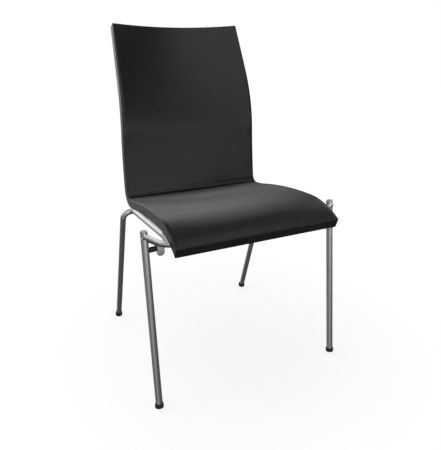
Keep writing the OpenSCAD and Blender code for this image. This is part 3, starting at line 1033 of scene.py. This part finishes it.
    def build(self) -> None:
        """Builds and dresses the shell."""
        soft = [(cover.name, cover.mesh(self.form), Slot.COVER, cover.node, cover.fill)
                for cover in self.covers()]
        soft += [("edge_band_cloth", self.band_mesh(), Slot.COVER_EDGE, "edge_band", 1.0),
                 ("crease_welt_cord", self.welt_mesh(), Slot.COVER_EDGE, "crease_welt", 1.0)]
        for name, bm, slot, node, fill in soft:
            piece = finished(name, bm, slot, node, self.crease_deg)
            if node == "seat_underside_pad":
                self.cut_standoff_holes(piece)
            piece.visible_glossy = False
        dress("shell_core", Slot.PLYWOOD)
        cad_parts["shell_core"].visible_glossy = False


# The tube frame


@dataclass(frozen=True)
class BentTube:
    """A round steel tube bent at its corners."""

    node: str
    shape: str
    points: tuple[Vector, ...]
    radii: tuple[float, ...]
    diameter: float
    sides: int = 48
    bend_step_deg: float = 4.0

    def mesh(self) -> BMesh:
        """Builds the tube: a circle drawn out along the straights and spun round the bends.

        Returns:
            The tube's bmesh, with its own coordinates stored for the brushing.
        """
        bm = bmesh.new()
        space = bm.verts.layers.float_vector.new(SatinChrome.attribute)
        heading = (self.points[1] - self.points[0]).normalized()
        turn = Vector((0, 0, 1)).rotation_difference(heading)
        matrix = Matrix.Translation(self.points[0]) @ turn.to_matrix().to_4x4()
        ring = bmesh.ops.create_circle(bm, cap_ends=False, segments=self.sides,
                                       radius=self.diameter / 2 * MM, matrix=matrix)["verts"]
        for vert in ring:
            vert[space] = turn.inverted() @ (vert.co - self.points[0])
        here = self.points[0].copy()

        def rim(verts: list[BMVert]) -> list[BMEdge]:
            """The edges that join the ring's points."""
            inside = set(verts)
            return [e for e in bm.edges if e.verts[0] in inside and e.verts[1] in inside]

        def draw_out(verts: list[BMVert], vector: Vector) -> list[BMVert]:
            """Draws the tube out straight.

            Args:
                verts: the ring at its end.
                vector: how far to draw it.

            Returns:
                The new end ring.
            """
            new = verts_in(bmesh.ops.extrude_edge_only(bm, edges=rim(verts))["geom"])
            bmesh.ops.translate(bm, verts=new, vec=vector)
            for vert in new:
                vert[space] = vert[space] + Vector((0, 0, vector.length))
            return new

        for corner, following, radius_mm in zip(self.points[1:], self.points[2:], self.radii):
            after = (following - corner).normalized()
            angle = heading.angle(after)
            radius = radius_mm * MM
            start = corner - heading * radius * math.tan(angle / 2)
            ring = draw_out(ring, start - here)
            inwards = (after - heading * heading.dot(after)).normalized()
            axis = heading.cross(inwards)
            centre = start + inwards * radius
            steps = max(2, math.ceil(math.degrees(angle) / self.bend_step_deg))
            for _ in range(steps):
                spun = bmesh.ops.spin(
                    bm, geom=ring + rim(ring), cent=centre, axis=axis, dvec=(0, 0, 0),
                    angle=angle / steps, steps=1, use_merge=False, use_duplicate=False)
                ring = verts_in(spun["geom_last"])
                for vert in ring:
                    vert[space] = vert[space] + Vector((0, 0, radius * angle / steps))
            heading = after
            here = corner + after * radius * math.tan(angle / 2)
        draw_out(ring, self.points[-1] - here)
        bmesh.ops.remove_doubles(bm, verts=bm.verts, dist=MERGE)
        bmesh.ops.holes_fill(bm, edges=bm.edges, sides=0)
        return faced_out(bm)


@dataclass(frozen=True)
class WeldBead:
    """The bead round a branch tube where it is welded to the side of a main tube."""

    name: str
    joint: Vector
    branch: Vector
    main: Vector
    branch_d: float
    main_d: float
    lead: float = 0.0
    passed: float = 0.0
    bead: float = 0.8
    ripple: float = 0.12
    ripples: int = 24

    def mesh(self) -> BMesh:
        """Builds the bead: a ring of small circles laid along the line where the tubes meet.

        Returns:
            The bead's bmesh.
        """
        normal = self.main.cross(self.branch).normalized()
        across = normal.cross(self.branch).normalized()
        outwards = normal.cross(self.main).normalized()
        reach = self.branch.dot(outwards)
        lean = across.dot(outwards)
        middle = self.branch_d / 2
        bm = bmesh.new()
        circle = bmesh.ops.create_circle(bm, cap_ends=False, segments=10, radius=self.bead)["verts"]
        stood_up(bm)
        bmesh.ops.translate(bm, verts=circle, vec=(middle, 0, 0))
        spun_round(bm, circle + bm.edges[:], 72)
        bmesh.ops.remove_doubles(bm, verts=bm.verts, dist=1e-5)
        for vert in bm.verts:
            t = math.atan2(vert.co.y, vert.co.x)
            swell = 1 + self.ripple * math.sin(self.ripples * t)
            r = middle + (math.hypot(vert.co.x, vert.co.y) - middle) * swell
            beside = middle * math.sin(t) + (self.lead if normal.y > 0 else -self.lead)
            open_part = (self.main_d / 2) ** 2 - beside ** 2
            sign = 1 if reach > 0 else -1
            out = sign * math.sqrt(open_part) if open_part > 0 else -sign * self.passed * abs(reach)
            w = (out - middle * math.cos(t) * lean) / reach
            local = (self.branch * (w + vert.co.z * swell)
                     + (across * math.cos(t) + normal * math.sin(t)) * r)
            vert.co = self.joint + local * MM
        own_space(bm, self.joint, self.branch)
        return faced_out(bm)


@dataclass(frozen=True)
class TubeFrame:
    """The welded frame of bent tubes: front legs, side tubes and two cross tubes."""

    front_leg_d: float = 17.0
    side_tube_d: float = 16.0
    cross_tube_d: float = 15.0
    front_foot: Triple = (257.5, 0.0, 0.0)
    front_top: Triple = (255.75, 52.0, 438.0)
    rear_foot: Triple = (228.0, 469.5, 0.0)
    knee: Triple = (225.0, 332.1, 387.5)
    rail_rear: Triple = (196.0, 332.1, 396.0)
    rail_front: Triple = (196.0, 90.164, 406.0)
    cross_end: Triple = (260.295, 47.664, 429.672)
    cross_corner: Triple = (212.25, 47.664, 398.5)
    cross_lead: float = 3.0
    middle_tube_y: float = 205.0
    side_radii: Triple = (20.0, 15.0, 60.0)  # at the knee and at the rail's rear and front ends
    cross_radius: float = 80.0
    rail_past: float = 2.5
    rail_rise: float = 0.45
    glide_sole: float = 4.4

    @staticmethod
    def path(side: Side, *points: Triple) -> tuple[Vector, ...]:
        """Points of the right side, or their mirror images, in metres."""
        return tuple(place_of(x * side.value, y, z) for x, y, z in points)

    @staticmethod
    def on_leg(foot: Triple, top: Triple, z: float) -> Triple:
        """The point of a leg's axis at height z."""
        share = z / top[2]
        return tuple(a + (b - a) * share for a, b in zip(foot, top))

    def rail_z(self, y: float) -> float:
        """Height of the rail's axis at distance y behind the front feet."""
        (_, y0, z0), (_, y1, z1) = self.rail_front, self.rail_rear
        return z0 + (z1 - z0) * (y - y0) / (y1 - y0)

    @property
    def middle_end(self) -> Triple:
        """The end of the middle cross tube, on the rail's axis."""
        return self.rail_rear[0], self.middle_tube_y, self.rail_z(self.middle_tube_y)

    def tubes(self) -> list[BentTube]:
        """Lays out the tubes.

        Returns:
            All six tubes.
        """
        _, y, z = self.cross_corner
        front = (self.on_leg(self.front_foot, self.front_top, self.glide_sole), self.front_top)
        bent = (self.on_leg(self.rear_foot, self.knee, self.glide_sole), self.knee, self.rail_rear,
                self.rail_front, (self.rail_front[0], y + self.rail_past, z + self.rail_rise))
        made = []
        for side in Side:
            made.append(BentTube(f"{side.word}_front_leg", "tube", self.path(side, *front), (),
                                 self.front_leg_d))
            made.append(BentTube(f"{side.word}_side_tube", "bent", self.path(side, *bent),
                                 self.side_radii, self.side_tube_d))
        cross = (self.cross_end, self.cross_corner)
        for node, shape, half, radii in (
                ("front_cross_tube", "bent", cross, (self.cross_radius, self.cross_radius)),
                ("middle_cross_tube", "straight", (self.middle_end,), ())):
            across = self.path(Side.LEFT, *half) + self.path(Side.RIGHT, *half[::-1])
            made.append(BentTube(node, shape, across, radii, self.cross_tube_d))
        return made

    def beads(self) -> list[WeldBead]:
        """Lays out the weld beads where the tubes meet.

        Returns:
            All six beads.
        """
        made = []
        leg_x = self.on_leg(self.front_foot, self.front_top, self.cross_end[2])[0]
        passed = (self.cross_end[0] - leg_x) / (self.cross_end[0] - self.cross_corner[0])
        rail_joint = (self.rail_front[0], *self.cross_corner[1:])
        for side in Side:
            foot, top, end, inner = self.path(
                side, self.front_foot, self.front_top, self.cross_end, self.cross_corner)
            joint, front, rear, middle = self.path(
                side, rail_joint, self.rail_front, self.rail_rear, self.middle_end)
            made.append(WeldBead(
                f"{side.word}_leg_weld", end.lerp(inner, passed), (inner - end).normalized(),
                (top - foot).normalized(), self.cross_tube_d, self.front_leg_d, self.cross_lead,
                passed * (end - inner).length / MM))
            made.append(WeldBead(
                f"{side.word}_rail_weld", joint, (front - joint).normalized(), Vector((1, 0, 0)),
                self.side_tube_d, self.cross_tube_d))
            made.append(WeldBead(
                f"{side.word}_middle_weld", middle, Vector((-side.value, 0, 0)),
                (rear - front).normalized(), self.cross_tube_d, self.side_tube_d))
        return made

    def build(self) -> None:
        """Builds and dresses the frame, with the caps on the front legs."""
        for tube in self.tubes():
            finished(f"{tube.node}_{tube.shape}", tube.mesh(), Slot.TUBE_STEEL, tube.node)
        for bead in self.beads():
            finished(bead.name, bead.mesh(), Slot.TUBE_STEEL)
        rim = self.front_leg_d / 2
        cap = ([(0.0, 2.3), (3.0, 2.25)] + arc((rim - 1.5, 0.7), 1.5, 78, 0, 5)
               + [(rim, 0.3), (rim - 0.5, -0.1), (rim - 1.9, -0.1), (rim - 1.9, -6.0), (0.0, -6.0)])
        for side in Side:
            foot, top = self.path(side, self.front_foot, self.front_top)
            node = f"{side.word}_top_cap"
            bm = turned(cap, top, (top - foot).normalized())
            finished(node + "_domed", bm, Slot.TUBE_STEEL, node)


# Feet, buffers, fixings


@dataclass(frozen=True)
class Glides:
    """The four moulded glides, domed underneath and worn flat on the floor."""

    tubes: TubeFrame
    diameter: float = 21.5
    height: float = 13.5
    sole: float = 5.0
    dome_radius: float = 16.0
    dome_edge: float = 9.6
    flat: float = 0.6

    def profile(self, tube_d: float) -> list[Pair]:
        """The glide's outline.

        Args:
            tube_d: diameter of the tube that it is pushed on to.

        Returns:
            Radius and height of the outline's points.
        """
        r, bore, dome = self.diameter / 2, tube_d / 2 + 0.1, self.dome_radius
        bottom = [(x, dome - math.sqrt(dome ** 2 - x ** 2)) for x in (0, 2, 4, 6, 7.5, 9.0)]
        knee_z = dome - math.sqrt(dome ** 2 - self.dome_edge ** 2)
        return (bottom + arc((r - 1.2, knee_z + 1.0), 1.2, -50, 0, 4)
                + arc((r - 1.1, self.height - 0.8), 0.8, 0, 90, 4)
                + [(bore + 0.3, self.height), (bore, self.height - 0.3), (bore, self.sole),
                   (0.0, self.sole)])

    def build(self) -> None:
        """Builds and dresses the glides."""
        legs = (("front", self.tubes.front_foot, self.tubes.front_top, self.tubes.front_leg_d),
                ("rear", self.tubes.rear_foot, self.tubes.knee, self.tubes.side_tube_d))
        for row, foot_mm, top_mm, tube_d in legs:
            for side in Side:
                foot, top = self.tubes.path(side, foot_mm, top_mm)
                along = (top - foot).normalized()
                bm = turned(self.profile(tube_d), foot - along * self.flat * MM, along)
                everything = bm.verts[:] + bm.edges[:] + bm.faces[:]
                cut = bmesh.ops.bisect_plane(bm, geom=everything, dist=1e-7, plane_co=(0, 0, 0),
                                             plane_no=(0, 0, -1), clear_outer=True)
                rim = [item for item in cut["geom_cut"] if isinstance(item, BMEdge)]
                bmesh.ops.holes_fill(bm, edges=rim, sides=0)
                node = f"{row}_{side.word}_glide"
                finished(node + "_moulded", faced_out(bm), Slot.BLACK_PLASTIC, node)


@dataclass(frozen=True)
class StackingBuffers:
    """The lugs under the front cross tube and the rubber sleeves between them and the legs."""

    tubes: TubeFrame
    lug_x: float = 219.0
    lug_y: float = 50.414
    lug_w: float = 19.0
    lug_t: float = 3.0
    lug_bottom_z: float = 374.0
    pin_z: float = 394.0
    pin_d: float = 6.0
    sleeve_d: float = 13.0
    gap: float = 0.3
    eased: float = 0.5

    def lug_mesh(self, side: Side) -> BMesh:
        """Builds a lug: a disc whose upper half is drawn up into the cross tube, with eased edges.

        Args:
            side: the side it hangs on.

        Returns:
            The lug's bmesh.
        """
        bm = bmesh.new()
        bmesh.ops.create_circle(bm, cap_ends=True, segments=48, radius=self.lug_w / 2)
        for vert in bm.verts:
            if vert.co.y > -1e-6:
                vert.co.y = self.tubes.cross_corner[2] - self.lug_bottom_z - self.lug_w / 2
        bmesh.ops.remove_doubles(bm, verts=bm.verts, dist=1e-5)
        grown = bmesh.ops.extrude_face_region(bm, geom=bm.faces[:], use_keep_orig=True)["geom"]
        bmesh.ops.translate(bm, verts=verts_in(grown), vec=(0, 0, self.lug_t))
        faced_out(bm)
        sharp = [e for e in bm.edges if e.calc_face_angle(0.0) > 1.0]
        bmesh.ops.bevel(bm, geom=sharp, offset=self.eased, offset_type="OFFSET", affect="EDGES",
                        segments=3, profile=0.5, material=-1)
        stood_up(bm)
        bmesh.ops.scale(bm, verts=bm.verts, vec=(MM, MM, MM))
        eye = (self.lug_x, self.lug_y + self.lug_t / 2, self.lug_bottom_z + self.lug_w / 2)
        bmesh.ops.translate(bm, verts=bm.verts, vec=self.tubes.path(side, eye)[0])
        return faced_out(bm)

    def sleeve_mesh(self, side: Side) -> BMesh:
        """Builds a sleeve: a thick rubber tube, hollowed at one end to sit against the leg.

        Args:
            side: the side it sits on.

        Returns:
            The sleeve's bmesh.
        """
        tubes = self.tubes
        low, high, start, end = tubes.path(
            side, tubes.front_foot, tubes.front_top,
            tubes.on_leg(tubes.front_foot, tubes.front_top, self.pin_z),
            (self.lug_x + self.lug_w / 2, self.lug_y, self.pin_z))
        leg = (high - low).normalized()
        along = (end - start).normalized()
        length = (end - start).length / MM
        r, bore = self.sleeve_d / 2, self.pin_d / 2 + 0.1
        profile = ([(bore, 0.0), (r - 0.3, 0.0), (r, 0.6), (r, length / 3), (r, length * 2 / 3)]
                   + arc((r - 0.9, length - 0.9), 0.9, 0, 90, 4) + [(bore, length)])
        bm = turned(profile, start, along)
        reach = tubes.front_leg_d / 2 + self.gap
        for vert in bm.verts:
            away = vert.co - start
            w = away.dot(along) / MM
            if w < 1.0:
                out = away - along * away.dot(along)
                sideways = out.dot(leg.cross(along).normalized()) / MM
                vert.co = start + out + along * (math.sqrt(reach ** 2 - sideways ** 2) + w) * MM
        return bm

    def build(self) -> None:
        """Builds and dresses lugs and sleeves, and dresses the pins inside."""
        for side in Side:
            buffer = f"{side.word}_buffer_"
            finished(buffer + "lug_pressed", self.lug_mesh(side), Slot.PLAIN_STEEL, buffer + "lug")
            finished(buffer + "sleeve_rubber", self.sleeve_mesh(side), Slot.BLACK_RUBBER,
                     buffer + "sleeve")
            dress(buffer + "pin", Slot.PLAIN_STEEL)


def dress_fixings() -> None:
    """Dresses the seat's plates, stand-offs, screws and nuts."""
    for corner in CORNERS:
        dress(f"{corner}_plate", Slot.PLAIN_STEEL)
        dress(f"{corner}_standoff", Slot.BLACK_PLASTIC)
    for node in ("seat_screws", "seat_nuts"):
        dress(node, Slot.PLAIN_STEEL)


# The studio

ASIDE, BACK, UP = (1, 0, 0), (0, 1, 0), (0, 0, 1)
FRONT = (0, -1, 0)
WHITE = (1, 1, 1, 1)
Edge = tuple[Triple, float, float]  # a direction, and the cosines where it's faded and full


@dataclass(frozen=True)
class SoftLight:
    """A large soft lamp."""

    name: str
    place: Triple
    target: Triple
    size: Pair
    power: float

    def build(self) -> None:
        """Hangs the lamp."""
        lamp = bpy.data.lights.new(self.name, "AREA")
        lamp.shape = "RECTANGLE"
        lamp.size, lamp.size_y = self.size
        lamp.energy = self.power
        holder = new_object(self.name, lamp)
        holder.location = self.place
        holder.visible_glossy = False
        aim = Vector(self.target) - Vector(self.place)
        holder.rotation_euler = aim.to_track_quat("-Z", "Y").to_euler()


def cone(towards: Triple, full_deg: float, faded_deg: float) -> tuple[Edge]:
    """The one edge of a round panel.

    Args:
        towards: direction of its middle.
        full_deg: angle from there within which it is evenly bright.
        faded_deg: angle at which it has faded out.

    Returns:
        The edge, as the only one of its panel.
    """
    faded, full = (math.cos(math.radians(angle)) for angle in (faded_deg, full_deg))
    return ((tuple(Vector(towards).normalized()), faded, full),)


@dataclass(frozen=True)
class SoftPanel:
    """A soft bright panel round the chair, as satin metal and smooth cloth show it."""

    level: float
    edges: tuple[Edge, ...]


@dataclass(frozen=True)
class Studio:
    """A white studio: floor, world, soft lamps and the camera.

    What mirrors the world sees its soft panels, with dark flags between them.
    """

    camera_place: Triple = (-0.548, -1.13634, 0.819)
    look_down_deg: float = 20.25
    turn_deg: float = -26.64
    lens_mm: float = 38.544
    fill_light: float = 0.5
    flag_level: float = 0.1
    paper: str = "#F0F0F0"
    paper_glow: float = 1.08
    floor_reach: float = 8.0
    floor_gap_mm: float = 0.3
    shadow_reach: float = 0.3
    shadow_end: float = 1.3
    near_glow: float = 0.75
    panels: tuple[SoftPanel, ...] = (
        SoftPanel(1.2, ((ASIDE, 0.425, 0.385), (ASIDE, -0.7, -0.25), (FRONT, 0.0, 0.2),
                        (UP, -0.33, -0.08))),
        SoftPanel(1.0, ((ASIDE, 0.53, 0.47), (ASIDE, 0.1, 0.35), (FRONT, 0.0, 0.2),
                        (UP, -0.3, -0.08), (UP, 0.2, -0.06))),
        SoftPanel(1.8, ((ASIDE, 0.9, 0.75), (ASIDE, 0.46, 0.58), (FRONT, 0.1, 0.3),
                        (UP, -0.12, 0.0), (UP, 0.2, 0.1))),
        SoftPanel(0.19, ((FRONT, 0.0, 0.2), (UP, 0.0, 0.2))),
        SoftPanel(0.5, cone((-0.5, -0.81, -0.3), 12, 32)),
        SoftPanel(1.7, cone((-0.22, 0.94, 0.24), 13, 28)),
        SoftPanel(1.05, ((BACK, 0.25, 0.6), (UP, -0.3, 0.6), (ASIDE, 0.72, 0.38),
                         ((0.874, 0, -0.486), -0.14, 0.03))),
        SoftPanel(0.45, cone((-0.35, 0.86, -0.36), 20, 40)),
        SoftPanel(1.6, cone((0.86, -0.2, 0.4), 16, 30)),
        SoftPanel(1.5, cone((0.83, 0.3, 0.43), 12, 26)),
        SoftPanel(0.9, cone((-0.72, 0.15, 0.68), 18, 42)),
        SoftPanel(0.3, ((UP, 0.7, 0.82), (ASIDE, 0.1, 0.3))),
        SoftPanel(0.85, cone((0.41, -0.03, 0.91), 3, 16)),
        SoftPanel(0.3, cone((-0.95, -0.3, 0.1), 30, 60)),
    )
    lights: tuple[SoftLight, ...] = (
        SoftLight("overhead", (-0.3, 0.3, 2.6), (0.0, 0.0, 0.4), (2.2, 2.2), 24.0),
        SoftLight("left", (-2.4, 0.4, 1.4), (0.0, 0.0, 0.4), (1.4, 1.8), 12.0),
    )

    def backdrop(self) -> None:
        """Sets the world: plain white when seen, panels when mirrored, softer as a light."""
        world = bpy.data.worlds.new("white studio")
        bpy.context.scene.world = world
        world.use_nodes = True
        tree = world.node_tree
        tree.nodes.clear()
        world.cycles.sampling_method = "NONE"
        direction = add_node(tree, "TexCoord").outputs["Generated"]
        mirrored = self.flag_level
        for panel in self.panels:
            level = panel.level
            for towards, faded, full in panel.edges:
                facing = add_node(tree, "VectorMath", {
                    0: direction, 1: towards}, operation="DOT_PRODUCT")
                edge = add_node(tree, "MapRange", {
                    "Value": facing.outputs["Value"], "From Min": min(faded, full),
                    "From Max": max(faded, full), "To Min": float(faded > full),
                    "To Max": float(faded < full)}, interpolation_type="SMOOTHSTEP")
                level = add_node(tree, "Math", {0: level, 1: edge}, operation="MULTIPLY")
            mirrored = add_node(tree, "Math", {0: mirrored, 1: level}, operation="MAXIMUM")
        path = add_node(tree, "LightPath")
        seen = add_node(tree, "Math", {
            0: path.outputs["Is Camera Ray"], 1: path.outputs["Is Transmission Ray"]},
            operation="MAXIMUM")
        unseen = add_node(tree, "Mix", {
            0: path.outputs["Is Glossy Ray"], 2: self.fill_light, 3: mirrored}, data_type="FLOAT")
        level = add_node(tree, "Mix", {0: seen, 2: unseen, 3: 1.0}, data_type="FLOAT")
        back = add_node(tree, "Background", {"Color": WHITE, "Strength": level})
        add_node(tree, "OutputWorld", {"Surface": back})

    def floor(self) -> None:
        """Lays a white floor, which keeps the shadow and glows white further out."""
        bm = bmesh.new()
        bmesh.ops.create_grid(bm, x_segments=1, y_segments=1, size=self.floor_reach)
        bmesh.ops.translate(bm, verts=bm.verts, vec=(0, 0, -self.floor_gap_mm * MM))
        floor = meshed("studio_floor", bm)
        material, tree, shader = new_material("white studio paper", {
            "Base Color": linear(self.paper), "Roughness": 0.9})
        path = add_node(tree, "LightPath")
        glow = add_node(tree, "Emission", {"Color": WHITE, "Strength": self.paper_glow})
        place = add_node(tree, "TexCoord").outputs["Object"]
        away = add_node(tree, "VectorMath", {0: place}, operation="LENGTH")
        fade = add_node(tree, "MapRange", {
            "Value": away.outputs["Value"], "From Min": self.shadow_reach,
            "From Max": self.shadow_end, "To Min": self.near_glow, "To Max": 1.0},
            interpolation_type="SMOOTHSTEP")
        share = add_node(tree, "Math", {
            0: path.outputs["Is Camera Ray"], 1: fade}, operation="MULTIPLY")
        mix = add_node(tree, "MixShader", {0: share, 1: shader, 2: glow})
        output = next(n for n in tree.nodes if n.bl_idname == "ShaderNodeOutputMaterial")
        feed(tree, output, {"Surface": mix})
        floor.data.materials.append(material)
        floor.visible_glossy = False

    def build(self) -> None:
        """Builds the studio and sets the camera."""
        scene = bpy.context.scene
        scene.view_settings.view_transform = "Standard"
        self.backdrop()
        self.floor()
        for light in self.lights:
            light.build()
        camera = new_object("camera", bpy.data.cameras.new("camera"))
        camera.data.sensor_width = 36.0
        camera.data.lens = self.lens_mm
        camera.location = self.camera_place
        camera.rotation_euler = (
            math.radians(90 - self.look_down_deg), 0.0, math.radians(self.turn_deg))
        scene.camera = camera
        log.info("studio: %d lamps", len(self.lights))


def main() -> None:
    """Builds the chair and its studio."""
    tubes = TubeFrame()
    for assembly in (UpholsteredShell(), tubes, Glides(tubes), StackingBuffers(tubes)):
        assembly.build()
    dress_fixings()
    Studio().build()
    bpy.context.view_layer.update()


if __name__ == "__main__":
    main()
